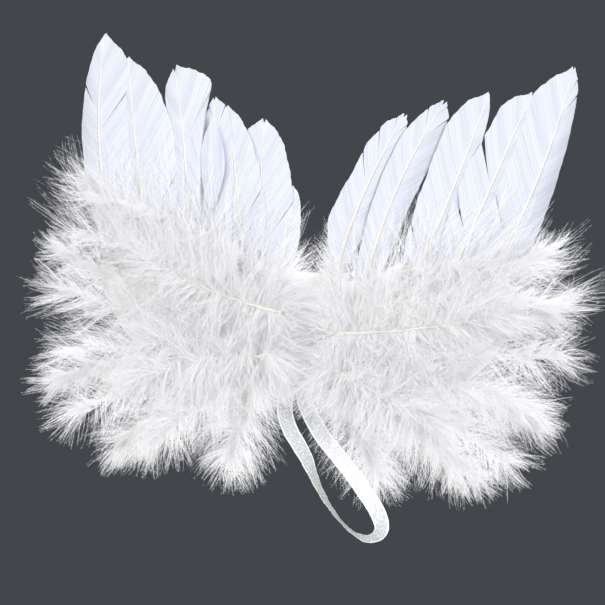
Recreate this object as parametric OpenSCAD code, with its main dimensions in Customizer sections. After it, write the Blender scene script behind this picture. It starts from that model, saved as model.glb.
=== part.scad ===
// Feather angel wings: two soft wings on a folding felt backing, with a ribbon loop.
// Everything is drawn flat on its back (x across, y up, z out from the felt)
// and stood upright by upright(), so the fluffy front faces -Y. Millimetres.

/* [Backing] */
// Thickness of the felt backing
felt_thickness = 1; // [0.6:0.1:2]
// Width of the felt strip between the two folds
spine_width = 12; // [8:0.5:12]
// Height of the top of the felt strip
spine_top = 30; // [20:1:40]
// Height of the bottom of the felt strip
spine_bottom = -12.2; // [-20:0.1:-8]
// Distance of each fold line from the middle
fold_offset = 6.9; // [6.5:0.1:8]
// Gap between the fold line and the wing felt
fold_gap = 0.2; // [0.1:0.05:0.5]
// Thickness of the card that stiffens each wing
card_thickness = 0.8; // [0.4:0.1:1.2]

/* [Flight feathers] */
// Quill diameter at the glued end
quill_diameter = 1.8; // [1:0.1:2.4]
// Quill diameter at the tip
quill_tip_diameter = 0.5; // [0.3:0.1:1]
// Thickness of the feather vane
vane_thickness = 0.4; // [0.2:0.05:0.6]
// Roll of each feather, so that the row shingles
feather_roll = 6; // [3:0.5:10]
// Where the vane starts along the quill
vane_start = 0.22; // [0.15:0.01:0.4]

/* [Plumes] */
// Thickness of the solid that stands for one fluffy plume
plume_thickness = 2.2; // [1:0.1:4]
// Clearance between layers of plumes
layer_gap = 0.3; // [0.2:0.05:0.6]
// Quill diameter of a plume
plume_quill_diameter = 1.2; // [0.6:0.1:2]

/* [Ribbon] */
// Width of the ribbon
ribbon_width = 6; // [4:0.5:8]
// Thickness of the ribbon
ribbon_thickness = 0.3; // [0.2:0.05:0.5]
// Length of the felt patch over the ribbon ends
patch_length = 15; // [10:1:20]

/* [Hidden] */
$fn = 48;
wing_edge = fold_offset + fold_gap;
rear_level = felt_thickness + 0.1;
card_level = rear_level + plume_thickness - 0.2 + 0.1;
quill_level = card_level + card_thickness + 0.3 + quill_diameter / 2;
front_level = quill_level + quill_diameter / 2 + 1.3;
layer_step = plume_thickness + layer_gap;
rear_thickness = plume_thickness - 0.2;

// Flight feathers, outermost first: quill base, bend, tip, outer width, inner width
feathers_left = [
  [[-66, 16], [-87.5, 62], [-85.1, 110.9], 7, 14.5],
  [[-54, 14], [-68, 60], [-75.7, 103], 6.5, 14.5],
  [[-42, 14], [-46.5, 57], [-57.8, 99.7], 6, 9],
  [[-32, 13], [-37.5, 52], [-41.9, 90.6], 5.5, 6.5],
  [[-22.5, 14], [-27, 52], [-37, 88.5], 6, 9.3],
  [[-14, 15], [-21.5, 50], [-22.5, 84.3], 6.5, 10.6],
  [[-9.3, 23], [-10.6, 44], [-9.4, 61.7], 2.9, 2]
];
feathers_right = [
  [[58, 16], [83.5, 64], [90.9, 116.2], 8.5, 14.5],
  [[46, 13], [61.5, 60], [76.5, 106], 8, 10.5],
  [[33, 14], [49.3, 58.5], [60.5, 103.8], 5, 11.5],
  [[20, 12], [22, 57], [43.8, 97.9], 7, 7.5],
  [[9.6, 26], [13, 57], [29.7, 91.7], 7, 6]
];

// Plumes: quill base, tip, half width
rear_left = [
  [[-11, 13], [-12.5, 55], 4],
  [[-18, 23], [-93, 62], 9],
  [[-14, 11], [-104, 29], 9.5],
  [[-14, -1], [-101, -24], 9],
  [[-15, -11], [-73, -51], 8.5],
  [[-13, -17], [-27, -53], 7]
];
rear_right = [
  [[11, 13], [12.5, 54], 4],
  [[18, 25.5], [97, 54], 8.8],
  [[14, 11], [109, 27], 9.5],
  [[14, -1], [102, -22], 9],
  [[15, -11.5], [80, -49], 8.2],
  [[13.5, -18], [38, -54], 6.5]
];
front_left = [
  [[-9, 24], [-96, 54], 11, 0],
  [[-9, 8], [-103, 14], 11, 0],
  [[-10, -7], [-93, -36], 11, 0],
  [[-9, 17], [-100, 36], 10, 1],
  [[-9, 2], [-97, -11], 10, 1],
  [[-13, -13], [-60, -49], 9, 1],
  [[-8.6, 14], [-72, 32], 10, 2],
  [[-8.6, -2], [-70, -16], 10, 2]
];
front_right = [
  [[9, 22], [99, 45], 11, 0],
  [[9, 6], [107, 9], 11, 0],
  [[10, -7], [92, -37], 11, 0],
  [[9, 15], [105, 29], 10, 1],
  [[9, 0], [99, -14], 10, 1],
  [[15, -13], [72, -45], 8, 1],
  [[8.6, 8], [82, 24], 10, 2],
  [[8.6, -5], [64, -27], 9, 2]
];

// Ribbon loop, from the left end to the right end: across, up, out, twist
loop_points = [
  [-3, -13.3, 1.2, 0],
  [-3.3, -15.6, 1.6, 4],
  [-3.6, -19.5, 2.9, 10],
  [-2.8, -24.2, 4.6, 14],
  [-0.6, -29, 6.0, 16],
  [3.2, -34.2, 6.8, 22],
  [6.6, -39, 7.0, 34],
  [10.2, -45.6, 7.0, 56],
  [14.2, -52, 7.0, 66],
  [19.2, -58.2, 6.9, 74],
  [25.2, -63.6, 6.8, 76],
  [31.2, -66.2, 6.7, 60],
  [35.6, -65, 6.8, 40],
  [37, -61.2, 6.9, 22],
  [34.4, -55.4, 6.8, 10],
  [29, -48.6, 6.6, 2],
  [23.4, -42.2, 6.2, 0],
  [17.3, -36, 5.6, 0],
  [11.6, -30.2, 4.7, 0],
  [6.8, -23.6, 3.4, 0],
  [3.7, -17.8, 1.9, 0],
  [3, -13.3, 1.2, 0]
];

felt_left = [
  [-18, 26], [-34, 38], [-54, 43], [-69, 41], [-77, 32], [-76, 18],
  [-68, 3], [-54, -9], [-38, -16], [-22, -14.5]
];
felt_right = [
  [18, 26], [34, 37], [54, 41], [69, 39], [78, 30], [77, 15],
  [69, 1], [55, -10], [38, -17], [22, -14.5]
];
card_left = [
  [-20, 28], [-40, 36], [-62, 37], [-75, 30], [-73, 14],
  [-58, 0], [-38, -8], [-20, -9]
];
card_right = [
  [20, 27], [38, 34], [60, 36], [74, 30], [73, 14],
  [58, 0], [38, -8], [20, -9]
];

function bend(f, t) =
  f[0] * (1 - t) * (1 - t) + f[1] * 2 * t * (1 - t) + f[2] * t * t;
function along(f, t) = (f[1] - f[0]) * (1 - t) + (f[2] - f[1]) * t;
function left_of(v) = [-v[1], v[0]] / norm(v);
function vane_part(t) =
  t < 0.5 ? 0.45 + 0.55 * sin(90 * (t - vane_start) / (0.5 - vane_start))
  : t < 0.8 ? 1
  : sqrt(max(0, 1 - pow((t - 0.8) / 0.2, 2.4)));
function plume_part(t) = pow(sin(180 * pow(t, 0.85)), 0.75);

// A smooth closed outline through a few points (Catmull-Rom)
function round_point(p, i, u) =
  let (n = len(p), a = p[(i + n - 1) % n], b = p[i], c = p[(i + 1) % n], d = p[(i + 2) % n])
  0.5 * (2 * b + (c - a) * u + (2 * a - 5 * b + 4 * c - d) * u * u
    + (3 * b - a - 3 * c + d) * u * u * u);
function round_outline(p, steps = 4) =
  [for (i = [0 : len(p) - 1], k = [0 : steps - 1]) round_point(p, i, k / steps)];

// The same through an open row of points of any length
function row_point(p, i, u) =
  let (n = len(p) - 1, a = p[max(0, i - 1)], b = p[i], c = p[min(n, i + 1)], d = p[min(n, i + 2)])
  0.5 * (2 * b + (c - a) * u + (2 * a - 5 * b + 4 * c - d) * u * u
    + (3 * b - a - 3 * c + d) * u * u * u);
function row_path(p, steps) = concat(
  [for (i = [0 : len(p) - 2], k = [0 : steps - 1]) row_point(p, i, k / steps)], [p[len(p) - 1]]);

module upright() { rotate([90, 0, 0]) children(); }

// A tapered round rod from point a to point b
module rod(a, b, r1, r2) {
  v = b - a;
  translate(a) rotate([0, acos(v[2] / norm(v)), atan2(v[1], v[0])])
    cylinder(h = norm(v), r1 = r1, r2 = r2);
}

// One flight feather: a thin rolled vane on a bent, tapered quill
module flight_feather(f, outer, inner, side) {
  v = f[2] - f[0];
  r1 = quill_diameter / 2;
  r2 = quill_tip_diameter / 2;
  wide_left = side > 0 ? inner : outer;
  wide_right = side > 0 ? outer : inner;
  ts = [for (k = [0 : 18]) vane_start + (1 - vane_start) * k / 18];
  translate([f[0][0], f[0][1], quill_level])
    rotate(a = side * feather_roll, v = [v[0], v[1], 0])
      translate([-f[0][0], -f[0][1], 0]) {
        translate([0, 0, -vane_thickness / 2]) linear_extrude(vane_thickness)
          polygon(concat(
            [for (t = ts) bend(f, t) + left_of(along(f, t)) * wide_left * vane_part(t)],
            [for (k = [17 : -1 : 0]) bend(f, ts[k])
              - left_of(along(f, ts[k])) * wide_right * vane_part(ts[k])]));
        // The quill tapers across the vane and is thicker in its lower part
        for (part = [[0, 0.55, 1.2], [0.5, 0.97, 0.7]]) {
          qs = [for (k = [0 : 8]) part[0] + (part[1] - part[0]) * k / 8];
          translate([0, 0, -part[2] / 2]) linear_extrude(part[2])
            polygon(concat(
              [for (t = qs) bend(f, t) + left_of(along(f, t)) * (r1 + (r2 - r1) * t)],
              [for (k = [8 : -1 : 0]) bend(f, qs[k])
                - left_of(along(f, qs[k])) * (r1 + (r2 - r1) * qs[k])]));
        }
      }
}

// One marabou plume: a leaf-shaped pad with the quill standing out of its base
module plume(p, level, thickness) {
  v = p[1] - p[0];
  n = left_of(v);
  ts = [for (k = [0 : 14]) 0.1 + 0.895 * k / 14];
  c = level + thickness / 2;
  r = plume_quill_diameter / 2;
  q = p[0] + v * 0.5;
  translate([0, 0, level]) linear_extrude(thickness)
    polygon(concat(
      [for (t = ts) p[0] + v * t + n * p[2] * plume_part(t)],
      [for (k = [14 : -1 : 0]) p[0] + v * ts[k] - n * p[2] * plume_part(ts[k])]));
  rod([p[0][0], p[0][1], c], [q[0], q[1], c], r, r * 0.6);
}

module wing_feather(f, side) { flight_feather(f, f[3], f[4], side); }

module front_plume(p) {
  plume(p, front_level + p[3] * layer_step, plume_thickness);
}

module rear_plume(p) { plume(p, rear_level, rear_thickness); }

// A flat backing sheet whose straight inner edge lies along a fold
module backing(points, edge, bottom, top, thickness) {
  linear_extrude(thickness) difference() {
    polygon(round_outline(concat(points, [[edge, bottom], [edge, top]])));
    s = edge > 0 ? 1 : -1;
    polygon([[edge, -60], [edge - s * 12, -60], [edge - s * 12, 80], [edge, 80]]);
  }
}

// Hot glue run across the feather quills, pressed in by each of them
module glue_run(feathers, side) {
  path = [for (f = feathers) f[0] + (bend(f, 0.06) - f[0])];
  difference() {
    translate([0, 0, card_level + card_thickness]) linear_extrude(1.3)
      for (k = [0 : len(path) - 2]) {
        v = path[k + 1] - path[k];
        n = left_of(v) * 2.2;
        polygon([path[k] + n, path[k] - n, path[k + 1] - n, path[k + 1] + n]);
      }
    for (f = feathers) {
      a = f[0] - (bend(f, 0.05) - f[0]);
      b = bend(f, 0.14);
      rod([a[0], a[1], quill_level], [b[0], b[1], quill_level],
        quill_diameter / 2 + 0.25, quill_diameter / 2 + 0.25);
    }
  }
}

module spine_felt() {
  color("white") upright() translate([-spine_width / 2, spine_bottom, 0])
    cube([spine_width, spine_top - spine_bottom, felt_thickness]);
}

module ribbon_tails() {
  color("whitesmoke") upright() for (s = [-1, 1])
    translate([s * spine_width / 4 - ribbon_width / 2 + 0.1, -12.4, felt_thickness + 0.05])
      cube([ribbon_width - 0.2, 20.4, ribbon_thickness]);
  // A short bar joins the two ends under the patch
  color("whitesmoke") upright() translate([-1, 4, felt_thickness + 0.05])
    cube([2, 3, ribbon_thickness]);
}

module ribbon_patch() {
  color("white") upright() translate([0, 2, felt_thickness + ribbon_thickness + 0.1])
    linear_extrude(0.9) polygon(round_outline(
      [[-5, -patch_length / 2], [5, -patch_length / 2], [5, patch_length / 2], [-5, patch_length / 2]], 3));
}

// Four corners of the ribbon at each step, joined into one thin closed skin
module ribbon_loop() {
  path = row_path(loop_points, 3);
  n = len(path);
  ring = [for (i = [0 : n - 1])
    let (p = path[i], a = path[max(0, i - 1)], b = path[min(n - 1, i + 1)],
      d = [b[0] - a[0], b[1] - a[1], b[2] - a[2]], e = d / norm(d),
      flat = cross([0, 0, 1], e) / norm(cross([0, 0, 1], e)), out = cross(e, flat),
      w = (i == 0 || i == n - 1) ? [i == 0 ? 1 : -1, 0, 0]
        : flat * cos(p[3]) + out * sin(p[3]),
      m = cross(e, w) / norm(cross(e, w)), c = [p[0], p[1], p[2]])
    for (q = [[1, 1], [-1, 1], [-1, -1], [1, -1]])
      c + w * q[0] * ribbon_width / 2 + m * q[1] * ribbon_thickness / 2];
  sides = [for (i = [0 : n - 2], k = [0 : 3])
    [4 * i + k, 4 * i + (k + 1) % 4, 4 * i + 4 + (k + 1) % 4, 4 * i + 4 + k]];
  halves = [for (f = sides) for (t = [[f[2], f[1], f[0]], [f[3], f[2], f[0]]]) t];
  ends = [[0, 1, 2], [0, 2, 3], [4 * n - 2, 4 * n - 3, 4 * n - 4], [4 * n - 1, 4 * n - 2, 4 * n - 4]];
  color("whitesmoke") upright() polyhedron(points = ring, faces = concat(halves, ends));
}

module left_felt() {
  color("white") upright()
    backing(felt_left, -wing_edge, -11.5, 26, felt_thickness);
}

module right_felt() {
  color("white") upright()
    backing(felt_right, wing_edge, -11.5, 26, felt_thickness);
}

module left_card() {
  color("ivory") upright() translate([0, 0, card_level])
    backing(card_left, -wing_edge - 0.9, -8, 26, card_thickness);
}

module right_card() {
  color("ivory") upright() translate([0, 0, card_level])
    backing(card_right, wing_edge + 0.9, -8, 26, card_thickness);
}

module left_glue() { color("gainsboro") upright() glue_run(feathers_left, -1); }

module right_glue() { color("gainsboro") upright() glue_run(feathers_right, 1); }

module flight_feather_left_1() { color("ghostwhite") upright() wing_feather(feathers_left[0], -1); }
module flight_feather_left_2() { color("ghostwhite") upright() wing_feather(feathers_left[1], -1); }
module flight_feather_left_3() { color("ghostwhite") upright() wing_feather(feathers_left[2], -1); }
module flight_feather_left_4() { color("ghostwhite") upright() wing_feather(feathers_left[3], -1); }
module flight_feather_left_5() { color("ghostwhite") upright() wing_feather(feathers_left[4], -1); }
module flight_feather_left_6() { color("ghostwhite") upright() wing_feather(feathers_left[5], -1); }
module flight_feather_left_7() { color("ghostwhite") upright() wing_feather(feathers_left[6], -1); }

module flight_feather_right_1() { color("ghostwhite") upright() wing_feather(feathers_right[0], 1); }
module flight_feather_right_2() { color("ghostwhite") upright() wing_feather(feathers_right[1], 1); }
module flight_feather_right_3() { color("ghostwhite") upright() wing_feather(feathers_right[2], 1); }
module flight_feather_right_4() { color("ghostwhite") upright() wing_feather(feathers_right[3], 1); }
module flight_feather_right_5() { color("ghostwhite") upright() wing_feather(feathers_right[4], 1); }

module rear_plume_left_1() { color("white") upright() rear_plume(rear_left[0]); }
module rear_plume_left_2() { color("white") upright() rear_plume(rear_left[1]); }
module rear_plume_left_3() { color("white") upright() rear_plume(rear_left[2]); }
module rear_plume_left_4() { color("white") upright() rear_plume(rear_left[3]); }
module rear_plume_left_5() { color("white") upright() rear_plume(rear_left[4]); }
module rear_plume_left_6() { color("white") upright() rear_plume(rear_left[5]); }

module rear_plume_right_1() { color("white") upright() rear_plume(rear_right[0]); }
module rear_plume_right_2() { color("white") upright() rear_plume(rear_right[1]); }
module rear_plume_right_3() { color("white") upright() rear_plume(rear_right[2]); }
module rear_plume_right_4() { color("white") upright() rear_plume(rear_right[3]); }
module rear_plume_right_5() { color("white") upright() rear_plume(rear_right[4]); }
module rear_plume_right_6() { color("white") upright() rear_plume(rear_right[5]); }

module front_plume_left_1() { color("snow") upright() front_plume(front_left[0]); }
module front_plume_left_2() { color("snow") upright() front_plume(front_left[1]); }
module front_plume_left_3() { color("snow") upright() front_plume(front_left[2]); }
module front_plume_left_4() { color("snow") upright() front_plume(front_left[3]); }
module front_plume_left_5() { color("snow") upright() front_plume(front_left[4]); }
module front_plume_left_6() { color("snow") upright() front_plume(front_left[5]); }
module front_plume_left_7() { color("snow") upright() front_plume(front_left[6]); }
module front_plume_left_8() { color("snow") upright() front_plume(front_left[7]); }

module front_plume_right_1() { color("snow") upright() front_plume(front_right[0]); }
module front_plume_right_2() { color("snow") upright() front_plume(front_right[1]); }
module front_plume_right_3() { color("snow") upright() front_plume(front_right[2]); }
module front_plume_right_4() { color("snow") upright() front_plume(front_right[3]); }
module front_plume_right_5() { color("snow") upright() front_plume(front_right[4]); }
module front_plume_right_6() { color("snow") upright() front_plume(front_right[5]); }
module front_plume_right_7() { color("snow") upright() front_plume(front_right[6]); }
module front_plume_right_8() { color("snow") upright() front_plume(front_right[7]); }

spine_felt();
ribbon_tails();
ribbon_patch();
ribbon_loop();
left_felt();
right_felt();
left_card();
right_card();
left_glue();
right_glue();
flight_feather_left_1();
flight_feather_left_2();
flight_feather_left_3();
flight_feather_left_4();
flight_feather_left_5();
flight_feather_left_6();
flight_feather_left_7();
flight_feather_right_1();
flight_feather_right_2();
flight_feather_right_3();
flight_feather_right_4();
flight_feather_right_5();
rear_plume_left_1();
rear_plume_left_2();
rear_plume_left_3();
rear_plume_left_4();
rear_plume_left_5();
rear_plume_left_6();
rear_plume_right_1();
rear_plume_right_2();
rear_plume_right_3();
rear_plume_right_4();
rear_plume_right_5();
rear_plume_right_6();
front_plume_left_1();
front_plume_left_2();
front_plume_left_3();
front_plume_left_4();
front_plume_left_5();
front_plume_left_6();
front_plume_left_7();
front_plume_left_8();
front_plume_right_1();
front_plume_right_2();
front_plume_right_3();
front_plume_right_4();
front_plume_right_5();
front_plume_right_6();
front_plume_right_7();
front_plume_right_8();
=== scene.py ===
import math

import bmesh
import bpy
import numpy as np
from mathutils import Matrix, Vector


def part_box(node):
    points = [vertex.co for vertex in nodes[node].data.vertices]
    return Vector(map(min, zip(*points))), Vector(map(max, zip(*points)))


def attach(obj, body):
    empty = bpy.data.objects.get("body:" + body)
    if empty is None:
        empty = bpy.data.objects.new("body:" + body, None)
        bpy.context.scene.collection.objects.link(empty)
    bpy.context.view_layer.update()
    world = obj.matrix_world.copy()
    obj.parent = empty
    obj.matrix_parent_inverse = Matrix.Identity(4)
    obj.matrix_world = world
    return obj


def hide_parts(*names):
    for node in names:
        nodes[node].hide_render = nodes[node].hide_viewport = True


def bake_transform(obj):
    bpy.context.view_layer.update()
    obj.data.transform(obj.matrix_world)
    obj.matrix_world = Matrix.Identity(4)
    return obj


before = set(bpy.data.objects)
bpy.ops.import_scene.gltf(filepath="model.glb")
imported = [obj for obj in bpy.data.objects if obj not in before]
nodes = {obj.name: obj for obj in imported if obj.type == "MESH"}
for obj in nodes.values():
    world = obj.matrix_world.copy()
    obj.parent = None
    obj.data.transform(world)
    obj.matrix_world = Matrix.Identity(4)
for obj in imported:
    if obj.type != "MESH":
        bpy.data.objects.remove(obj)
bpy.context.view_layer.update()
mm = 0.001
scene = bpy.context.scene
print("frame loaded:", len(nodes), "nodes")


# the shapes are made flat, in mm, as (across, up, out of the felt), and this stands them up
upright = Matrix.Scale(mm, 4) @ Matrix.Rotation(math.radians(90), 4, "X")


def hexColour(text):
    # sRGB hex to linear, with alpha 1
    parts = [int(text[i:i + 2], 16) / 255 for i in (0, 2, 4)]
    return tuple(c / 12.92 if c <= 0.04045 else ((c + 0.055) / 1.055) ** 2.4 for c in parts) + (1,)


def addNode(tree, kind, settings=None, inputs=None):
    node = tree.nodes.new(kind)
    for key, value in (settings or {}).items():
        if key == "stops":      # a colour ramp's (place, hex colour), in rising order
            while len(node.color_ramp.elements) < len(value):
                node.color_ramp.elements.new(0.5)
            for stop, (place, colour) in zip(node.color_ramp.elements, value):
                stop.position = place
                stop.color = hexColour(colour)
        else:
            setattr(node, key, value)
    for key, value in (inputs or {}).items():
        if isinstance(value, bpy.types.NodeSocket):
            tree.links.new(value, node.inputs[key])
        else:
            node.inputs[key].default_value = value
    return node


def newMaterial(name):
    mat = bpy.data.materials.new(name)
    mat.use_nodes = True
    mat.node_tree.nodes.clear()
    return mat, mat.node_tree


def setUVs(verts, uvLayer, coords):
    for face in {fc for v in verts for fc in v.link_faces}:
        for loop in face.loops:
            loop[uvLayer].uv = coords[loop.vert]


def toMesh(name, bm, materials, smooth=True):
    me = bpy.data.meshes.new(name)
    bm.to_mesh(me)
    bm.free()
    for m in materials:
        me.materials.append(m)
    if smooth:
        me.polygons.foreach_set("use_smooth", [True] * len(me.polygons))
    ob = bpy.data.objects.new(name, me)
    scene.collection.objects.link(ob)
    return ob


def bend(f, t):
    # point on the quadratic curve from f[0] to f[2] that leans towards f[1]
    return f[0] * (1 - t) ** 2 + f[1] * 2 * t * (1 - t) + f[2] * t * t


def rowPath(points, steps):
    # smooth curve through rows of numbers (Catmull-Rom)
    pts = [np.array(p, float) for p in points]
    out = []
    for i in range(len(pts) - 1):
        a, b = pts[max(0, i - 1)], pts[i]
        c, d = pts[i + 1], pts[min(len(pts) - 1, i + 2)]
        for k in range(steps):
            u = k / steps
            out.append(0.5 * (2 * b + (c - a) * u + (2 * a - 5 * b + 4 * c - d) * u * u
                              + (3 * b - a - 3 * c + d) * u ** 3))
    out.append(pts[-1])
    return out


cameraSet = {
    "distance": 1.0,            # metres from the middle of the wings
    "lens": 158.6,
    "sensor": 36,
    "aim": (-0.0010, 0.0186),   # across and up
    "roll": 6.0,                # degrees, the wings hang a little turned
}

camData = bpy.data.cameras.new("camera")
camData.lens = cameraSet["lens"]
camData.sensor_width = cameraSet["sensor"]
cam = bpy.data.objects.new("camera", camData)
scene.collection.objects.link(cam)
aimAcross, aimUp = cameraSet["aim"]
cam.matrix_world = (Matrix.Translation((aimAcross, -cameraSet["distance"], aimUp))
                    @ Matrix.Rotation(math.radians(90), 4, "X")
                    @ Matrix.Rotation(math.radians(cameraSet["roll"]), 4, "Z"))
scene.camera = cam

lightTarget = Vector((0, 0, 0.02))
lightSet = {
    # name: (place, size, watts, colour)
    "key": ((-0.55, -0.95, 0.85), 0.9, 17.5, "fffcf8"),
    "fill": ((0.55, -1.2, 0.1), 0.9, 14.0, "f8f9ff"),
    "back": ((0.25, 1.05, 0.5), 0.9, 15.0, "ffffff"),
    "top": ((0.0, 0.05, 1.1), 0.7, 3.4, "ffffff"),
}
for lightName, (place, size, watts, colour) in lightSet.items():
    ld = bpy.data.lights.new(lightName, "AREA")
    ld.size = size
    ld.energy = watts
    ld.color = hexColour(colour)[:3]
    lo = bpy.data.objects.new(lightName, ld)
    scene.collection.objects.link(lo)
    lo.location = place
    lo.rotation_euler = (lightTarget - Vector(place)).to_track_quat("-Z", "Y").to_euler()

worldSet = {"colour": "565a60", "strength": 0.6}
world = bpy.data.worlds.new("studio")
scene.world = world
world.use_nodes = True
background = world.node_tree.nodes["Background"]
background.inputs["Color"].default_value = hexColour(worldSet["colour"])
background.inputs["Strength"].default_value = worldSet["strength"]

floorSet = {"height": -0.13, "radius": 0.2}   # metres
bm = bmesh.new()
bmesh.ops.create_circle(bm, cap_ends=True, segments=96, radius=floorSet["radius"],
                        matrix=Matrix.Translation((0, 0, floorSet["height"])))
floorMat, tree = newMaterial("Matte studio card")
grain = addNode(tree, "ShaderNodeTexNoise", inputs={"Scale": 60.0, "Detail": 3.0})
tone = addNode(tree, "ShaderNodeValToRGB", {"stops": [(0.3, "d6d4cf"), (0.7, "dcdad5")]},
               {"Fac": grain.outputs["Fac"]})
card = addNode(tree, "ShaderNodeBsdfPrincipled", inputs={"Base Color": tone.outputs[0], "Roughness": 0.9})
addNode(tree, "ShaderNodeOutputMaterial", inputs={"Surface": card.outputs[0]})
toMesh("studioFloor", bm, [floorMat])
scene.view_settings.view_transform = "Standard"
print("camera, lights and floor set")


ribbonSet = {
    "width": 6.0,
    "steps": 8,              # pieces between two points of the route
    "across": 8,
    "threadGap": 0.5,        # mm, drawn at twice the real 0.25 so that the threads show
    "levelEnd": 8.0,         # mm at each end where the ripples fade out
    # across, up, out of the felt, twist in degrees
    "route": [(-3, -13.3, 1.2, 0), (-3.3, -15.6, 1.6, 4), (-3.6, -19.5, 2.9, 10), (-2.8, -24.2, 4.6, 14),
              (-0.6, -29, 6.0, 16), (3.2, -34.2, 6.8, 22), (6.6, -39, 7.0, 34), (10.2, -45.6, 7.0, 56),
              (14.2, -52, 7.0, 66), (19.2, -58.2, 6.9, 74), (25.2, -63.6, 6.8, 76), (31.2, -66.2, 6.7, 60),
              (35.6, -65, 6.8, 40), (37, -61.2, 6.9, 22), (34.4, -55.4, 6.8, 10), (29, -48.6, 6.6, 2),
              (23.4, -42.2, 6.2, 0), (17.3, -36, 5.6, 0), (11.6, -30.2, 4.7, 0), (6.8, -23.6, 3.4, 0),
              (3.7, -17.8, 1.9, 0), (3, -13.3, 1.2, 0)],
}


def organzaMaterial():
    # Sheer nylon organza: fine crisp threads with open gaps, so it is see-through, with
    # bright woven edges and faint glints.
    mat, tree = newMaterial("Sheer nylon organza")
    uv = addNode(tree, "ShaderNodeUVMap", {"uv_map": "weave"})   # x along, y across, in mm
    split = addNode(tree, "ShaderNodeSeparateXYZ", inputs={"Vector": uv.outputs["UV"]})
    threads = []
    for axisName in ("X", "Y"):
        turn = addNode(tree, "ShaderNodeMath", {"operation": "MULTIPLY"},
                       {0: split.outputs[axisName], 1: 2 * math.pi / ribbonSet["threadGap"]})
        wave = addNode(tree, "ShaderNodeMath", {"operation": "SINE"}, {0: turn.outputs[0]})
        thread = addNode(tree, "ShaderNodeMapRange",
                         inputs={"Value": wave.outputs[0], "From Min": -0.4, "From Max": 1.0})
        threads.append(thread.outputs[0])
    net = addNode(tree, "ShaderNodeMath", {"operation": "MAXIMUM"}, {0: threads[0], 1: threads[1]})
    fromMiddle = addNode(tree, "ShaderNodeMath", {"operation": "ABSOLUTE"}, {0: split.outputs["Y"]})
    edge = addNode(tree, "ShaderNodeMapRange",
                   inputs={"Value": fromMiddle.outputs[0], "From Min": 2.35, "From Max": 2.6})
    glints = addNode(tree, "ShaderNodeTexNoise", {"noise_dimensions": "2D"},
                     {"Vector": uv.outputs["UV"], "Scale": 1.1, "Detail": 4.0, "Roughness": 0.75})
    body = addNode(tree, "ShaderNodeMapRange",
                   inputs={"Value": net.outputs[0], "To Min": 0.42, "To Max": 0.78})
    shine = addNode(tree, "ShaderNodeMapRange",
                    inputs={"Value": glints.outputs["Fac"], "From Min": 0.5, "From Max": 0.75, "To Max": 0.3})
    cover = addNode(tree, "ShaderNodeMath", {"operation": "ADD"}, {0: body.outputs[0], 1: shine.outputs[0]})
    alpha = addNode(tree, "ShaderNodeMath", {"operation": "MULTIPLY_ADD", "use_clamp": True},
                    {0: edge.outputs[0], 1: 0.5, 2: cover.outputs[0]})
    colour = addNode(tree, "ShaderNodeValToRGB", {"stops": [(0.35, "e6eaf0"), (0.7, "ffffff")]},
                     {"Fac": glints.outputs["Fac"]})
    nylon = addNode(tree, "ShaderNodeBsdfPrincipled",
                    inputs={"Base Color": colour.outputs[0], "Roughness": 0.38, "Alpha": alpha.outputs[0],
                            "Sheen Weight": 0.4})
    addNode(tree, "ShaderNodeOutputMaterial", inputs={"Surface": nylon.outputs[0]})
    return mat


def ribbonFrames(path):
    # at each point of the path, the ribbon's direction across and the way it faces
    last = len(path) - 1
    frames = []
    for i, point in enumerate(path):
        before, after = path[max(0, i - 1)][:3], path[min(last, i + 1)][:3]
        along = (after - before) / np.linalg.norm(after - before)
        flat = np.cross([0, 0, 1.0], along)
        flat /= np.linalg.norm(flat)
        twist = math.radians(point[3])
        across = flat * math.cos(twist) + np.cross(along, flat) * math.sin(twist)
        frames.append((across, np.cross(along, across)))
    # both ends leave the felt flat and level
    frames[0] = (np.array([1.0, 0, 0]), np.array([0, 0, 1.0]))
    frames[-1] = (np.array([-1.0, 0, 0]), np.array([0, 0, 1.0]))
    return frames


def makeRibbon():
    path = rowPath(ribbonSet["route"], ribbonSet["steps"])
    last = len(path) - 1
    run = [0.0]
    for a, b in zip(path[:-1], path[1:]):
        run.append(run[-1] + np.linalg.norm(b[:3] - a[:3]))
    frames = ribbonFrames(path)
    bm = bmesh.new()
    uvLayer = bm.loops.layers.uv.new("weave")
    verts = bmesh.ops.create_grid(bm, x_segments=last, y_segments=ribbonSet["across"], size=0.5)["verts"]
    coords = {}
    for v in verts:
        i = int(round((v.co.x + 0.5) * last))
        w = v.co.y * ribbonSet["width"]
        across, face = frames[i]
        # the ribbon is a little cupped, and ripples
        fade = min(1.0, run[i] / ribbonSet["levelEnd"], (run[-1] - run[i]) / ribbonSet["levelEnd"])
        cup = (0.22 * (w / 3) ** 2 + 0.10 * math.sin(run[i] * 0.9 + w * 0.8)
               + 0.06 * math.sin(run[i] * 2.3 - w * 1.7)) * fade
        v.co = path[i][:3] + across * w + face * cup
        coords[v] = (run[i], w)
    setUVs(verts, uvLayer, coords)
    bmesh.ops.transform(bm, matrix=upright, verts=bm.verts)
    ob = toMesh("ribbonLoop", bm, [organzaMaterial()])
    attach(ob, "ribbon_loop")
    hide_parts("ribbon_loop")
    print("ribbon made, length in mm:", round(run[-1], 1))


makeRibbon()


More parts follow.
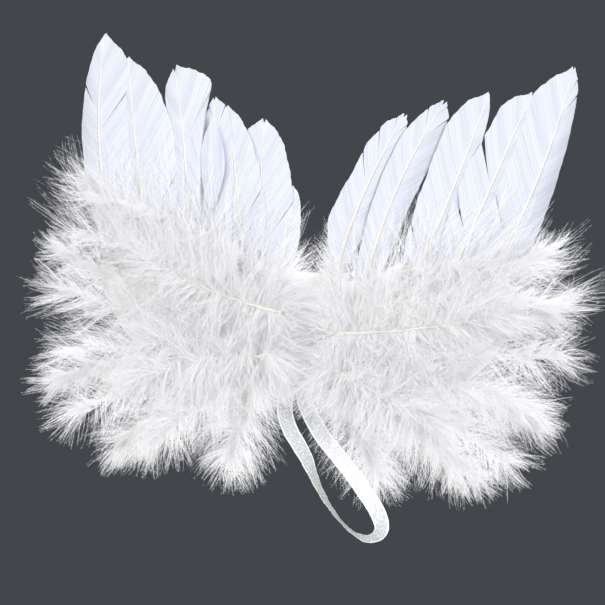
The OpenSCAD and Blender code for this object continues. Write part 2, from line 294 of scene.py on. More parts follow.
def vaneMaterial():
    # Bleached goose quill vane: satin keratin barbs zipped together. The eye sees a
    # cool white sheet with fine slanting lines, and a few wider greyer streaks.
    mat, tree = newMaterial("Bleached goose feather vane")
    # x along the shaft and y along the barb, in mm
    uv = addNode(tree, "ShaderNodeUVMap", {"uv_map": "barbs"})
    fine = addNode(tree, "ShaderNodeMapping",
                   inputs={"Vector": uv.outputs["UV"], "Scale": (1.0, 0.02, 1.0)})
    # real barbs are 0.4 mm apart, drawn at about 0.8 mm so that they show
    lines = addNode(tree, "ShaderNodeTexNoise", {"noise_dimensions": "2D"},
                    {"Vector": fine.outputs["Vector"], "Scale": 1.25, "Detail": 1.5, "Roughness": 0.5})
    wide = addNode(tree, "ShaderNodeMapping",
                   inputs={"Vector": uv.outputs["UV"], "Scale": (1.0, 0.05, 1.0)})
    streaks = addNode(tree, "ShaderNodeTexNoise", {"noise_dimensions": "2D"},
                      {"Vector": wide.outputs["Vector"], "Scale": 0.16, "Detail": 2.0, "Roughness": 0.5})
    mix = addNode(tree, "ShaderNodeMath", {"operation": "MULTIPLY"}, {0: lines.outputs["Fac"], 1: 0.6})
    both = addNode(tree, "ShaderNodeMath", {"operation": "MULTIPLY_ADD"},
                   {0: streaks.outputs["Fac"], 1: 0.4, 2: mix.outputs[0]})
    colour = addNode(tree, "ShaderNodeValToRGB",
                     {"stops": [(0.28, "b9bfcc"), (0.44, "c7ccd7"), (0.62, "d5d8e0")]},
                     {"Fac": both.outputs[0]})
    bump = addNode(tree, "ShaderNodeBump",
                   inputs={"Strength": 0.3, "Distance": 0.0002, "Height": both.outputs[0]})
    keratin = addNode(tree, "ShaderNodeBsdfPrincipled",
                      inputs={"Base Color": colour.outputs[0], "Roughness": 0.48, "IOR": 1.5,
                              "Normal": bump.outputs[0], "Sheen Weight": 0.15, "Sheen Roughness": 0.4})
    addNode(tree, "ShaderNodeOutputMaterial", inputs={"Surface": keratin.outputs[0]})
    return mat


def quillMaterial():
    # Quill keratin: smooth, hard and waxy. It is a cream rod, yellower towards its base.
    mat, tree = newMaterial("Feather quill keratin")
    uv = addNode(tree, "ShaderNodeUVMap", {"uv_map": "barbs"})
    split = addNode(tree, "ShaderNodeSeparateXYZ", inputs={"Vector": uv.outputs["UV"]})
    scaled = addNode(tree, "ShaderNodeMath", {"operation": "DIVIDE"}, {0: split.outputs["X"], 1: 100.0})
    colour = addNode(tree, "ShaderNodeValToRGB",
                     {"stops": [(0.0, "e0dacb"), (0.45, "e4e0d6"), (0.9, "e6e5e0")]},
                     {"Fac": scaled.outputs[0]})
    grain = addNode(tree, "ShaderNodeTexNoise", {"noise_dimensions": "2D"},
                    {"Vector": uv.outputs["UV"], "Scale": 0.6, "Detail": 2.0})
    rough = addNode(tree, "ShaderNodeMapRange",
                    inputs={"Value": grain.outputs["Fac"], "To Min": 0.28, "To Max": 0.42})
    keratin = addNode(tree, "ShaderNodeBsdfPrincipled",
                      inputs={"Base Color": colour.outputs[0], "Roughness": rough.outputs[0], "IOR": 1.54})
    addNode(tree, "ShaderNodeOutputMaterial", inputs={"Surface": keratin.outputs[0]})
    return mat


def downMaterial():
    # Bleached turkey marabou: barbs too thin to shine, so light goes through and between
    # them and the fluff glows a soft even white.
    mat, tree = newMaterial("Bleached marabou down")
    white = hexColour("fdfdfe")
    barb = addNode(tree, "ShaderNodeBsdfPrincipled",
                   inputs={"Base Color": white, "Roughness": 0.9, "IOR": 1.45,
                           "Specular IOR Level": 0.2, "Sheen Weight": 0.3, "Sheen Roughness": 0.6})
    glow = addNode(tree, "ShaderNodeBsdfTranslucent", inputs={"Color": white})
    mix = addNode(tree, "ShaderNodeMixShader", inputs={0: 0.25, 1: barb.outputs[0], 2: glow.outputs[0]})
    addNode(tree, "ShaderNodeOutputMaterial", inputs={"Surface": mix.outputs[0]})
    return mat


def feltMaterial():
    # Needle-punched craft felt: matted short fibres, no weave, a soft cloudy nap.
    mat, tree = newMaterial("Needle punched craft felt")
    co = addNode(tree, "ShaderNodeTexCoord")
    # fibres 0.03 mm thick are drawn as 0.5 mm wisps so that they show
    wisps = addNode(tree, "ShaderNodeTexNoise",
                    inputs={"Vector": co.outputs["Object"], "Scale": 1900.0, "Detail": 6.0,
                            "Roughness": 0.7, "Distortion": 1.4})
    clouds = addNode(tree, "ShaderNodeTexNoise",
                     inputs={"Vector": co.outputs["Object"], "Scale": 170.0, "Detail": 3.0})
    both = addNode(tree, "ShaderNodeMath", {"operation": "MULTIPLY_ADD"},
                   {0: wisps.outputs["Fac"], 1: 0.6, 2: clouds.outputs["Fac"]})
    colour = addNode(tree, "ShaderNodeValToRGB",
                     {"stops": [(0.55, "dfdfdd"), (0.8, "f1f1ef"), (1.0, "fafaf9")]},
                     {"Fac": both.outputs[0]})
    bump = addNode(tree, "ShaderNodeBump",
                   inputs={"Strength": 0.8, "Distance": 0.0004, "Height": both.outputs[0]})
    felt = addNode(tree, "ShaderNodeBsdfPrincipled",
                   inputs={"Base Color": colour.outputs[0], "Roughness": 0.95, "Sheen Weight": 0.4,
                           "Sheen Roughness": 0.5, "Normal": bump.outputs[0]})
    addNode(tree, "ShaderNodeOutputMaterial", inputs={"Surface": felt.outputs[0]})
    return mat


vaneMat, quillMat, downMat, feltMat = vaneMaterial(), quillMaterial(), downMaterial(), feltMaterial()
print("materials made")


# base, bend and tip (across, up, in mm); then the vane's width beside the shaft at these
# parts of its length, on its outer and its inner side
stations = [0.18, 0.35, 0.5, 0.65, 0.8, 0.9, 0.96, 1.0]
feathers = {
    "left_1": {"line": [(-66, 16), (-87.5, 62), (-85.1, 110.9)],
               "outer": [4, 6.5, 6.5, 6.7, 5.3, 3.8, 2.2, 0], "inner": [6, 13, 15.3, 15, 13.5, 10, 6, 0],
               "splits": {"inner": [0.62], "outer": [0.7]}},
    "left_2": {"line": [(-54, 14), (-68, 60), (-75.7, 103)],
               "outer": [4, 6, 6.5, 6.5, 5.5, 4, 2.2, 0], "inner": [6, 12, 14.5, 14.5, 12, 8.5, 5, 0],
               "splits": {"inner": [0.3]}},
    "left_3": {"line": [(-42, 14), (-46.5, 57), (-57.8, 99.7)],
               "outer": [4, 5.5, 5.5, 5.5, 5.5, 5, 4, 1.2], "inner": [4, 7, 12, 13.5, 13.5, 13, 12.2, 8],
               "splits": {}, "fold": {"side": "inner", "at": [4, 3.5, 4.2, 5.6, 8.6, 11.5, 14, 14]}},
    "left_4": {"line": [(-32, 13), (-37.5, 52), (-41.9, 90.6)],
               "outer": [4, 5.5, 6, 6.5, 5.6, 4.2, 2.8, 0.8], "inner": [4, 6, 6.5, 7, 6.8, 6.5, 5, 1.5],
               "splits": {"inner": [0.85], "outer": [0.9]}, "ragged": 0.35,
               "flap": {"line": [(-38.5, 50), (-39.5, 66), (-41.3, 84)], "half": [1.5, 4.2, 5.0, 3.2, 0.2]}},
    "left_5": {"line": [(-22.5, 14), (-27, 52), (-37, 88.5)],
               "outer": [4, 6, 6.5, 6, 5, 4, 2.6, 0.6], "inner": [5, 9, 10, 9.3, 7.8, 5.6, 3.6, 0.8],
               "splits": {"inner": [0.42]}, "ragged": 0.25},
    "left_6": {"line": [(-14, 15), (-21.5, 50), (-22.5, 84.3)],
               "outer": [4, 6, 6.5, 7, 7, 7, 6.2, 3], "inner": [5, 10, 12, 11.6, 9.6, 7.4, 5, 2],
               "splits": {"inner": [0.34]}},
    "left_7": {"line": [(-9.3, 23), (-10.6, 44), (-9.4, 61.7)],
               "outer": [3, 5, 5, 5, 4, 3, 2, 0], "inner": [3, 5, 5.4, 5, 4.2, 3.2, 2, 0],
               "splits": {}},
    "right_1": {"line": [(58, 16), (83.5, 64), (90.9, 116.2)],
                "outer": [5, 9.5, 8.4, 7, 5.6, 4.4, 3, 0.6], "inner": [6, 13, 15, 14.5, 13.6, 11, 6.5, 0.6],
                "splits": {"inner": [0.33], "outer": [0.83, 0.9]}, "ragged": 0.2},
    "right_2": {"line": [(46, 13), (61.5, 60), (76.5, 106)],
                "outer": [4, 7, 8, 8, 7, 5, 3, 0], "inner": [5, 9, 10.8, 11.2, 9.2, 8.4, 5.4, 0],
                "splits": {"inner": [0.38, 0.605]}, "gap": 0.016},
    "right_3": {"line": [(33, 14), (49.3, 58.5), (60.5, 103.8)],
                "outer": [4, 5.5, 5.5, 5, 4, 3, 2, 0], "inner": [5, 9, 10.6, 11, 11.2, 8.8, 5.6, 0],
                "splits": {"inner": [0.27]}},
    "right_4": {"line": [(20, 12), (22, 57), (43.8, 97.9)],
                "outer": [4, 7, 7.5, 8, 8.5, 8, 6, 2], "inner": [4, 5.5, 6.5, 7.2, 7.4, 6, 4, 1.6],
                "splits": {"outer": [0.84, 0.94], "inner": [0.86, 0.91, 0.955]}, "ragged": 0.5},
    "right_5": {"line": [(9.6, 26), (13, 57), (29.7, 91.7)],
                "outer": [4, 6.5, 7, 7, 6.5, 5.4, 4, 1.6], "inner": [5, 9, 8.3, 7.2, 7.4, 5.6, 3.6, 1.4],
                "splits": {"inner": [0.6, 0.74, 0.9, 0.95], "outer": [0.88, 0.95]}, "ragged": 0.5},
}
vaneSet = {
    "quillLevel": 5.2,       # mm out from the felt's back
    "roll": 6.0,             # degrees, the inner edge forward
    "quillRadius": 0.78,
    "quillTip": 0.13,
    "quillPieces": 18,
    "bare": 0.1,             # part of the shaft below the vane
    "barbAngle": (40, 36, 17),   # degrees from the shaft, low down, past the middle and at the tip
    "widest": 22.0,          # mm, more than any vane's width
    "rowsAlong": 70,         # rows of faces on a whole shaft
    "gap": 0.006,            # how far two bands part at the edge, for a shaft of length 1
    "foldRadius": 0.9,       # mm, where an edge is folded over
    "camber": {"inner": 1.1, "outer": 3.2},   # mm that the vane falls back, 10 mm out
    "sag": 2.2,              # mm that the tip falls back
}


def sag(t):
    return -vaneSet["sag"] * t ** 3


def vaneEdge(spec, side):
    # the vane's width along its shaft, with the corners of its table rounded off
    at = np.linspace(0.1, 1.04, 142)
    window = np.hanning(15)[1:-1]
    width = np.interp(at, stations + [1.02], spec[side] + [0])
    return at, np.convolve(np.pad(width, 6, mode="edge"), window / window.sum(), "valid")


def barbReach(edge, u, cot, length):
    # how far from the shaft the barb that starts at u meets the edge, by halving
    low, high = 0.0, vaneSet["widest"]
    for _ in range(22):
        mid = (low + high) / 2
        if np.interp(u + mid * cot / length, *edge) > mid:
            low = mid
        else:
            high = mid
    return low


def foldOver(d, at, rise):
    # past the crease the vane turns over a small roll and lies back over itself
    r = vaneSet["foldRadius"]
    if d <= at:
        return d, rise
    turn = min(math.pi, (d - at) / r)
    rest = max(0.0, d - at - math.pi * r)
    return at + r * math.sin(turn) - rest, rise + (r * (1 - math.cos(turn)) + rest * 0.05)


def vaneBand(bm, uvLayer, spec, side, sign, u0, u1, reach, rng):
    # barbs zipped together into one sheet, that start from u0 to u1 along the shaft
    line = [np.array(p, float) for p in spec["line"]]
    length = np.linalg.norm(line[2] - line[0])
    edge = vaneEdge(spec, side)
    fold = spec.get("fold") if spec.get("fold", {}).get("side") == side else None
    ragged = spec.get("ragged", 0)
    parting = spec.get("gap", vaneSet["gap"]) * min(1.0, (u1 - u0) / 0.2)
    rows = max(4, int((u1 - u0) * vaneSet["rowsAlong"]))
    made = bmesh.ops.create_grid(bm, x_segments=rows, y_segments=16 if fold else 9, size=0.5)["verts"]
    wobble = rng.normal(0, 1, 8)
    coords = {}
    for v in made:
        a, w = v.co.x + 0.5, v.co.y + 0.5       # along the band and out along the barb, 0 to 1
        u = u0 + (u1 - u0) * a
        cot = 1 / math.tan(math.radians(np.interp(u, [0.0, 0.55, 1.0], vaneSet["barbAngle"])))
        end = barbReach(edge, u, cot, length) * reach
        # the corners of a band are drawn in
        end *= 1 - ragged * 0.07 * abs(2 * a - 1) ** 3
        end *= 1 + 0.012 * math.sin(40 * u + wobble[0]) + 0.008 * math.sin(113 * u + wobble[1])
        d = end * w ** 0.96
        lead = end * cot * w ** 1.12
        # the band's lower and upper edges part a little towards the vane's edge
        drift = parting * (0.5 - a) * 2 * w ** 2 * length
        along = u + (lead + drift) / length
        t = min(1.0, along)
        over = max(0.0, along - 1.0) * length
        tangent = (line[1] - line[0]) * (1 - t) + (line[2] - line[1]) * t
        tangent /= np.linalg.norm(tangent)
        normal = np.array([-tangent[1], tangent[0]]) * sign
        rise = -vaneSet["camber"][side] * (d / 10) ** 2 + sag(t)
        if fold:
            d, rise = foldOver(d, np.interp(t, stations, fold["at"]), rise)
        place = bend(line, t) + tangent * over + normal * d
        v.co = (place[0], place[1], rise + 0.12 * math.sin(9 * u + wobble[2]) * w)
        coords[v] = (u * length, w * end)
    setUVs(made, uvLayer, coords)


def shaftTube(bm, uvLayer, points, radii, sides=8, flat=0.85):
    # a tapered rod: a ring pushed along the points by extrusion
    ring = bmesh.ops.create_circle(bm, cap_ends=True, segments=sides, radius=1.0)["verts"]
    last = len(points) - 1

    def settle(verts, k):
        along = (points[min(last, k + 1)] - points[max(0, k - 1)]).normalized()
        sideways = along.cross(Vector((0, 0, 1))).normalized()
        up = sideways.cross(along)
        for i, vert in enumerate(verts):
            c, s = math.cos(2 * math.pi * i / sides), math.sin(2 * math.pi * i / sides)
            vert.co = points[k] + sideways * c * radii[k] + up * s * radii[k] * flat

    settle(ring, 0)
    coords = {v: (0.0, 0.5) for v in ring}
    run = 0.0
    for k in range(1, last + 1):
        run += (points[k] - points[k - 1]).length
        edges = [bm.edges.get((ring[i], ring[(i + 1) % sides])) for i in range(sides)]
        new = bmesh.ops.extrude_edge_only(bm, edges=edges)["geom"]
        partner = {}
        for v in (g for g in new if isinstance(g, bmesh.types.BMVert)):
            for e in v.link_edges:
                if e.other_vert(v) in ring:
                    partner[e.other_vert(v)] = v
        ring = [partner[v] for v in ring]
        settle(ring, k)
        coords.update({v: (run, 0.5) for v in ring})
    bmesh.ops.contextual_create(bm, geom=ring)
    for face in {fc for v in coords for fc in v.link_faces}:
        face.material_index = 1
    setUVs(coords, uvLayer, coords)


def looseFlap(bm, uvLayer, flap):
    # a bunch of barbs that came unzipped and curls up in front of its vane
    line = [np.array(p, float) for p in flap["line"]]
    verts = bmesh.ops.create_grid(bm, x_segments=16, y_segments=8, size=0.5)["verts"]
    coords = {}
    for v in verts:
        t, w = v.co.x + 0.5, v.co.y * 2
        half = np.interp(t, [0, 0.35, 0.55, 0.8, 1.0], flap["half"])
        q = bend(line, t)
        v.co = (q[0] + w * half, q[1], 0.5 + 1.1 * t + 0.9 * (1 - w * w) * (1 - t))
        coords[v] = (w * half, 34 * t)
    setUVs(verts, uvLayer, coords)


def makeFlightFeather(key, spec):
    side = 1 if key.startswith("right") else -1
    rng = np.random.default_rng(sum(ord(c) for c in key) * 7)
    bm = bmesh.new()
    uvLayer = bm.loops.layers.uv.new("barbs")
    line = [np.array(p, float) for p in spec["line"]]
    # seen from the front, the right wing's inner side is to the left of the shaft
    for name, sign in (("inner", side), ("outer", -side)):
        cuts = [vaneSet["bare"]] + spec["splits"].get(name, []) + [0.995]
        for u0, u1 in zip(cuts[:-1], cuts[1:]):
            reach = 1.0 + spec.get("ragged", 0) * 0.08 * rng.uniform(-1, 0.4)
            vaneBand(bm, uvLayer, spec, name, sign, u0, u1, reach, rng)
    if "flap" in spec:
        looseFlap(bm, uvLayer, spec["flap"])
    points, radii = [], []
    for k in range(vaneSet["quillPieces"] + 1):
        t = 0.985 * k / vaneSet["quillPieces"]
        q = bend(line, t)
        points.append(Vector((q[0], q[1], sag(t))))
        radii.append(vaneSet["quillRadius"] * (1 - t) ** 0.85 + vaneSet["quillTip"])
    shaftTube(bm, uvLayer, points, radii)
    # roll about the chord, lift to its level, then stand the feather upright
    chord = Vector((line[2][0] - line[0][0], line[2][1] - line[0][1], 0))
    base = Vector((line[0][0], line[0][1], 0))
    turn = Matrix.Rotation(math.radians(vaneSet["roll"] * side), 4, chord)
    place = (upright @ Matrix.Translation(base + Vector((0, 0, vaneSet["quillLevel"])))
             @ turn @ Matrix.Translation(-base))
    bmesh.ops.transform(bm, matrix=place, verts=bm.verts)
    ob = toMesh("flightFeather_" + key, bm, [vaneMat, quillMat])
    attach(ob, "right_wing" if side > 0 else "left_wing")
    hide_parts("flight_feather_" + key)


for key, spec in feathers.items():
    makeFlightFeather(key, spec)
print("flight feathers made:", len(feathers))


# quill base and tip (across, up, in mm), reach of the barbs on the quill's upper and lower side
# in mm, sideways bow in mm, and how far the barbs lean out of the wing's plane in radians
# (towards the front is positive)
plumes = {
    "rear_plume_left_1": [(-11, 13), (-10.5, 46), (13, 13), 1, 0.0],
    "rear_plume_left_2": [(-18, 23), (-85, 55), (19, 22), 5, 0.0],
    "rear_plume_left_3": [(-14, 11), (-92, 28), (23, 24), 4, 0.0],
    "rear_plume_left_4": [(-14, -1), (-89, -20), (22, 22), -4, 0.0],
    "rear_plume_left_5": [(-15, -11), (-64, -43), (23, 21), -4, 0.0],
    "rear_plume_left_6": [(-13, -17), (-22, -41), (25, 24), -2, 0.0],
    "rear_plume_right_1": [(11, 13), (9.5, 45), (12, 12), -1, 0.0],
    "rear_plume_right_2": [(18, 25.5), (88, 47), (18, 22), -5, 0.0],
    "rear_plume_right_3": [(14, 11), (97, 26), (23, 24), -4, 0.0],
    "rear_plume_right_4": [(14, -1), (90, -18), (22, 22), 4, 0.0],
    "rear_plume_right_5": [(15, -11.5), (70, -40), (22, 21), 4, 0.0],
    "rear_plume_right_6": [(13.5, -18), (33, -43), (24, 24), 3, 0.0],
    "front_plume_left_1": [(-9, 24), (-85, 49), (38, 25), -6, 0.05],
    "front_plume_left_2": [(-9, 8), (-91, 14), (29, 28), 2, 0.2],
    "front_plume_left_3": [(-10, -7), (-81, -31), (26, 25), -5, 0.15],
    "front_plume_left_4": [(-9, 17), (-87, 35), (39, 26), -4, 0.15],
    "front_plume_left_5": [(-9, 2), (-86, -9), (29, 28), -2, 0.25],
    "front_plume_left_6": [(-13, -13), (-52, -40), (24, 22), -4, 0.1],
    "front_plume_left_7": [(-8.6, 14), (-62, 29), (28, 26), 2, 0.15],
    "front_plume_left_8": [(-8.6, -2), (-60, -15), (26, 26), -2, 0.3],
    "front_plume_right_1": [(9, 22), (87, 41), (39, 25), 6, 0.05],
    "front_plume_right_2": [(9, 6), (95, 9), (28, 28), -2, 0.2],
    "front_plume_right_3": [(10, -7), (80, -32), (26, 25), 5, 0.15],
    "front_plume_right_4": [(9, 15), (91, 28), (40, 26), 4, 0.15],
    "front_plume_right_5": [(9, 0), (88, -12), (29, 28), 2, 0.25],
    "front_plume_right_6": [(15, -13), (63, -39), (22, 22), 4, 0.1],
    "front_plume_right_7": [(8.6, 8), (77, 23), (27, 27), -2, -0.05],
    "front_plume_right_8": [(8.6, -5), (55, -23), (25, 25), 2, 0.3],
}
downSet = {
    "barbs": 1650,           # on a long plume
    "clump": 6,              # barbs that cling together
    "pointsAlong": 7,
    "barbWidth": 0.13,       # mm at the quill
    "barbules": 30,          # tiny side hairs on each barb
    "barbuleLength": 1.5,    # mm
    "barbuleWidth": 0.10,
    "hub": (30.0, 14.0),     # mm across and up, the middle of a wing, which barbs are combed away from
    "combed": 0.95,          # how strongly the barbs turn outwards
    "baseShare": 0.22,       # of a front plume's clumps, loose at its butt and over the middle
    "rearRoom": 4.0,         # mm in front of and behind the quill that the barbs keep to
    "frontRoom": 7.5,
    "quillRadius": 0.5,
    "bareQuills": ["front_plume_right_7", "front_plume_left_7"],
    "fold": (-0.006, 0.018),   # metres out from the middle
}


def unit(a):
    return a / np.maximum(np.linalg.norm(a, axis=-1, keepdims=True), 1e-9)


def quillCurve(spec):
    (bx, bz), (tx, tz), _, bow, _ = spec
    base, tip = np.array([bx, bz, 0.0]), np.array([tx, tz, 0.0])
    axis = tip - base
    length = np.linalg.norm(axis)
    sideAxis = np.array([-axis[1], axis[0], 0.0]) / length
    return base, (base + tip) / 2 + sideAxis * bow * 2, tip, sideAxis, length


def makeClumps(name, spec, groups, sideAxis, rng):
    # each clump of barbs shares a place on the quill, a side, an angle, a slope, a reach and a curl
    (_, baseUp), _, (upReach, downReach), _, lean = spec
    at = np.sort(rng.uniform(0.03, 1.0, groups)) ** 0.85
    side = np.where(rng.random(groups) < 0.5, 1.0, -1.0)
    slope = rng.normal(lean, 0.36, groups)
    angle = np.radians(np.interp(at, [0, 0.1, 0.3, 0.6, 0.85, 1.0], [95, 86, 74, 66, 56, 34]))
    angle += rng.normal(0, 0.34, groups)
    upper = side * math.copysign(1.0, sideAxis[1]) > 0
    reach = np.where(upper, upReach, downReach) * rng.uniform(0.7, 1.1, groups)
    reach *= np.interp(at, [0, 0.15, 0.4, 0.75, 1.0], [0.75, 0.9, 1.05, 0.95, 0.68])
    if name.startswith("front"):
        loose = rng.random(groups) < downSet["baseShare"]
        at = np.where(loose, rng.uniform(0.0, 0.09, groups), at)
        angle = np.where(loose, rng.uniform(1.5, 2.9, groups), angle)
        slope = np.where(loose, rng.uniform(-0.3, 0.3, groups), slope)
        reach = np.where(loose, rng.uniform(13, 25, groups), reach)
        if baseUp < 5:      # the lowest butts hang a curtain over the ribbon's ends
            down = -math.copysign(1.0, sideAxis[1])
            side = np.where(loose, np.where(rng.random(groups) < 0.8, down, -down), side)
    curl = rng.normal(0, 1, (groups, 3)) * np.array([0.85, 0.85, 0.5])
    return at, side, angle, slope, reach, curl


def growBarbs(name, spec, room, rng):
    # the barbs' middle lines: (barb, point, xyz)
    base, middle, tip, sideAxis, length = quillCurve(spec)
    outAxis = np.array([0.0, 0.0, 1.0])
    hubAcross = math.copysign(downSet["hub"][0], tip[0]) if abs(tip[0]) > 12 else tip[0] * 0.8
    hub = np.array([hubAcross, downSet["hub"][1], 0.0])
    count = int(downSet["barbs"] * (0.45 + 0.55 * min(1.0, length / 90)))
    groups = max(8, count // downSet["clump"])
    clumpAt, clumpSide, clumpAngle, clumpSlope, clumpReach, clumpCurl = makeClumps(
        name, spec, groups, sideAxis, rng)
    pick = rng.integers(0, groups, count)
    t = np.clip(clumpAt[pick] + rng.normal(0, 0.012, count), 0.02, 1.0)[:, None]
    angle = (clumpAngle[pick] + rng.normal(0, 0.15, count))[:, None]
    slope = (clumpSlope[pick] + rng.normal(0, 0.18, count))[:, None]
    reach = (clumpReach[pick] * rng.uniform(0.66, 1.08, count))[:, None]
    curl = clumpCurl[pick] + rng.normal(0, 0.35, (count, 3))

    root = bend((base, middle, tip), t)
    tangent = unit(2 * (1 - t) * (middle - base) + 2 * t * (tip - middle))
    sideways = np.stack([-tangent[:, 1], tangent[:, 0], np.zeros(count)], 1) * clumpSide[pick][:, None]
    flat = tangent * np.cos(angle) + sideways * np.sin(angle)
    if name not in downSet["bareQuills"]:      # barbs that start across the quill hide it
        root = root - sideways * rng.uniform(0, 2.2, (count, 1)) + outAxis * rng.uniform(0.2, 1.2, (count, 1))
    heading = flat * np.cos(slope) + outAxis * np.sin(slope)
    steps = downSet["pointsAlong"]
    path = [root]
    for j in range(1, steps):
        # the loose ends are combed outwards, away from the middle of the wing
        outward = (path[-1] - hub) * np.array([1.0, 1.4, 0.0])
        comb = unit(outward) * np.clip(np.linalg.norm(outward, axis=1, keepdims=True) / 45, 0, 1)
        combing = downSet["combed"] * (0.25 + 1.5 * j / (steps - 1))
        turn = curl * 0.75 + tangent * 0.2 + rng.normal(0, 0.11, (count, 3)) + comb * combing
        heading = unit(heading + turn / (steps - 1))
        path.append(path[-1] + heading * reach / (steps - 1))
    path = np.stack(path, 1)
    # tips of a clump draw together
    centre = np.zeros((groups, steps, 3))
    np.add.at(centre, pick, path)
    centre /= np.maximum(np.bincount(pick, minlength=groups), 1)[:, None, None]
    pull = (np.linspace(0, 1, steps) ** 2.0 * 0.55)[None, :, None]
    path = path * (1 - pull) + centre[pick] * pull
    # keep the fluff in the room it has, softly
    path[..., 2] = room * np.tanh(path[..., 2] / room)
    return path


def growPlume(name, spec, room, level):
    # one mesh of flat tapered barbs, each with its barbules as thin triangles
    rng = np.random.default_rng(sum((i + 3) * ord(c) for i, c in enumerate(name)))
    path = growBarbs(name, spec, room, rng)
    count, steps = path.shape[:2]
    along = np.gradient(path, axis=1)
    wide = unit(np.cross(along, rng.normal(0, 1, (count, 1, 3)) + np.array([0.0, 0.0, 0.8])))
    taper = np.linspace(1, 0.22, steps)[None, :, None] * downSet["barbWidth"] / 2
    strips = np.stack([path - wide * taper, path + wide * taper], 2).reshape(-1, 3)
    first = ((np.arange(count) * steps * 2)[:, None] + np.arange(steps - 1)[None, :] * 2).ravel()
    quads = np.stack([first, first + 1, first + 3, first + 2], 1)

    many = downSet["barbules"]
    u = np.clip(rng.uniform(0.04, 0.99, (count, many)), 0, 0.999) * (steps - 1)
    k = u.astype(int)
    part = (u - k)[..., None]
    barb = np.arange(count)[:, None]
    spot = path[barb, k] * (1 - part) + path[barb, k + 1] * part
    lay = unit(path[barb, k + 1] - path[barb, k])
    away = unit(np.cross(lay, rng.normal(0, 1, (count, many, 3))))
    shorter = 1.2 - 0.75 * u[..., None] / (steps - 1)      # towards the barb's tip
    reach = downSet["barbuleLength"] * rng.uniform(0.55, 1.15, (count, many, 1)) * shorter
    end = spot + (lay * 0.82 + away * 0.57) * reach
    half = lay * downSet["barbuleWidth"] / 2
    hairs = np.stack([spot - half, spot + half, end], 2).reshape(-1, 3)
    tris = len(strips) + np.arange(len(hairs)).reshape(-1, 3)
    verts = np.concatenate([strips, hairs])

    # upright: up stays up, and out of the felt is towards -Y
    world = np.stack([verts[:, 0], -(verts[:, 2] + level), verts[:, 1]], 1) * mm
    me = bpy.data.meshes.new(name)
    me.vertices.add(len(world))
    me.vertices.foreach_set("co", world.astype(np.float32).ravel())
    loops = np.concatenate([quads.ravel(), tris.ravel()])
    me.loops.add(len(loops))
    me.loops.foreach_set("vertex_index", loops.astype(np.int32))
    starts = np.concatenate([np.arange(len(quads)) * 4, quads.size + np.arange(len(tris)) * 3])
    me.polygons.add(len(starts))
    me.polygons.foreach_set("loop_start", starts.astype(np.int32))
    me.update(calc_edges=True)
    return me


def makePlume(name, spec):
    low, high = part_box(name)
    level = -(low.y + high.y) / 2 / mm      # how far out of the felt its solid lies
    rear = name.startswith("rear")
    side = "left_wing" if "left" in name else "right_wing"
    me = growPlume(name, spec, downSet["rearRoom" if rear else "frontRoom"], level)
    bm = bmesh.new()
    uvLayer = bm.loops.layers.uv.new("barbs")
    base, middle, tip, _, _ = quillCurve(spec)
    curve = [bend((base, middle, tip), t) for t in np.linspace(0, 1, 10)]
    points = [Vector((q[0], q[1], level)) for q in curve]
    radii = [downSet["quillRadius"] * (1 - k / len(points)) + 0.1 for k in range(len(points))]
    shaftTube(bm, uvLayer, points, radii)
    bmesh.ops.transform(bm, matrix=upright, verts=bm.verts)
    bm.from_mesh(me)
    bpy.data.meshes.remove(me)
    ob = toMesh("marabou_" + name, bm, [downMat, quillMat])
    if rear:
        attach(ob, side)
    else:
        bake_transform(ob)
    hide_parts(name)
    return ob


downTriangles = 0
for name, spec in plumes.items():
    made = makePlume(name, spec)
    downTriangles += sum(len(f.vertices) - 2 for f in made.data.polygons)
print("marabou plumes made:", len(plumes), "with", downTriangles, "triangles")


feltSet = {
    "left": [(0, 30), (-6.2, 30), (-8, 26.3), (-18, 26), (-34, 38), (-54, 43), (-69, 41), (-77, 32), (-76, 18),
             (-68, 3), (-54, -9), (-38, -16), (-22, -14.5), (-8.5, -11.8), (-6.2, -12.2), (0, -12.2)],
    "right": [(0, 30), (6.2, 30), (8, 26.3), (18, 26), (34, 37), (54, 41), (69, 39), (78, 30), (77, 15),
              (69, 1), (55, -10), (38, -17), (22, -14.5), (8.5, -11.8), (6.2, -12.2), (0, -12.2)],
    "thickness": 1.0,
    "cell": 4.0,                       # mm between the cuts that let it bend
    "foldCuts": (5.0, 6.0, 7.0, 9.0),  # mm out from the middle, closer cuts at the fold
    "fold": (0.0055, 0.0085),          # metres out from the middle
}


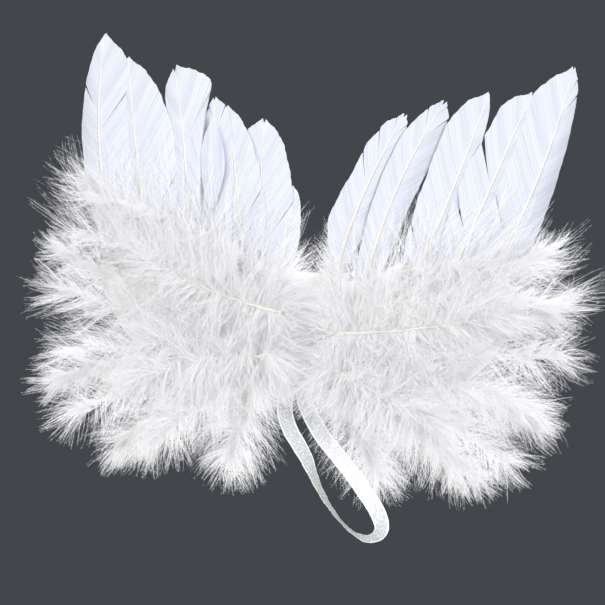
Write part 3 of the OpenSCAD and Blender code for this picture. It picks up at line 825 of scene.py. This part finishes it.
def makeFelt(side):
    s = -1 if side == "left" else 1
    outline = [tuple(q) for q in rowPath(feltSet[side], 4)]      # the lobe is rounded
    bm = bmesh.new()
    face = bm.faces.new([bm.verts.new((x, y, 0)) for x, y in outline])
    if face.normal.z < 0:
        face.normal_flip()
    cell = feltSet["cell"]
    cuts = [((s * k * cell, 0, 0), (1, 0, 0)) for k in range(1, 24)]
    cuts += [((s * k, 0, 0), (1, 0, 0)) for k in feltSet["foldCuts"]]
    cuts += [((0, k * cell + 0.3, 0), (0, 1, 0)) for k in range(-4, 12)]
    for place, normal in cuts:
        bmesh.ops.bisect_plane(bm, geom=bm.verts[:] + bm.edges[:] + bm.faces[:],
                               plane_co=place, plane_no=normal)
    bmesh.ops.triangulate(bm, faces=bm.faces)
    bmesh.ops.recalc_face_normals(bm, faces=bm.faces)
    top = bmesh.ops.extrude_face_region(bm, geom=bm.faces[:])["geom"]
    bmesh.ops.translate(bm, verts=[g for g in top if isinstance(g, bmesh.types.BMVert)],
                        vec=(0, 0, feltSet["thickness"]))
    bmesh.ops.recalc_face_normals(bm, faces=bm.faces)
    bmesh.ops.transform(bm, matrix=upright, verts=bm.verts)
    ob = toMesh("feltBacking_" + side, bm, [feltMat], smooth=False)
    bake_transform(ob)
    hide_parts(side + "_felt", "spine_felt")


makeFelt("left")
makeFelt("right")


def plainMaterial(name, light, dark, scale, rough):
    # for the pieces that keep their solid's shape
    mat, tree = newMaterial(name)
    co = addNode(tree, "ShaderNodeTexCoord")
    noise = addNode(tree, "ShaderNodeTexNoise",
                    inputs={"Vector": co.outputs["Object"], "Scale": scale, "Detail": 4.0})
    colour = addNode(tree, "ShaderNodeValToRGB", {"stops": [(0.35, dark), (0.65, light)]},
                     {"Fac": noise.outputs["Fac"]})
    bump = addNode(tree, "ShaderNodeBump",
                   inputs={"Strength": 0.3, "Distance": 0.0002, "Height": noise.outputs["Fac"]})
    surface = addNode(tree, "ShaderNodeBsdfPrincipled",
                      inputs={"Base Color": colour.outputs[0], "Roughness": rough, "Normal": bump.outputs[0]})
    addNode(tree, "ShaderNodeOutputMaterial", inputs={"Surface": surface.outputs[0]})
    return mat


# the card is pressed pulp and faintly warm, and the glue set smooth and milky
cardMat = plainMaterial("Uncoated white card", "f6f5f2", "eeedea", 500.0, 0.85)
glueMat = plainMaterial("Hot melt glue", "f1efe8", "e4e2d9", 220.0, 0.3)
tailMat = plainMaterial("Pressed organza ends", "f2f4f7", "dfe3e9", 900.0, 0.45)
kept = {"left_card": cardMat, "right_card": cardMat, "left_glue": glueMat, "right_glue": glueMat,
        "ribbon_tails": tailMat, "ribbon_patch": feltMat}
for nodeName, mat in kept.items():
    ob = nodes[nodeName]
    ob.data.materials.clear()
    ob.data.materials.append(mat)
print("felt, card and glue made")
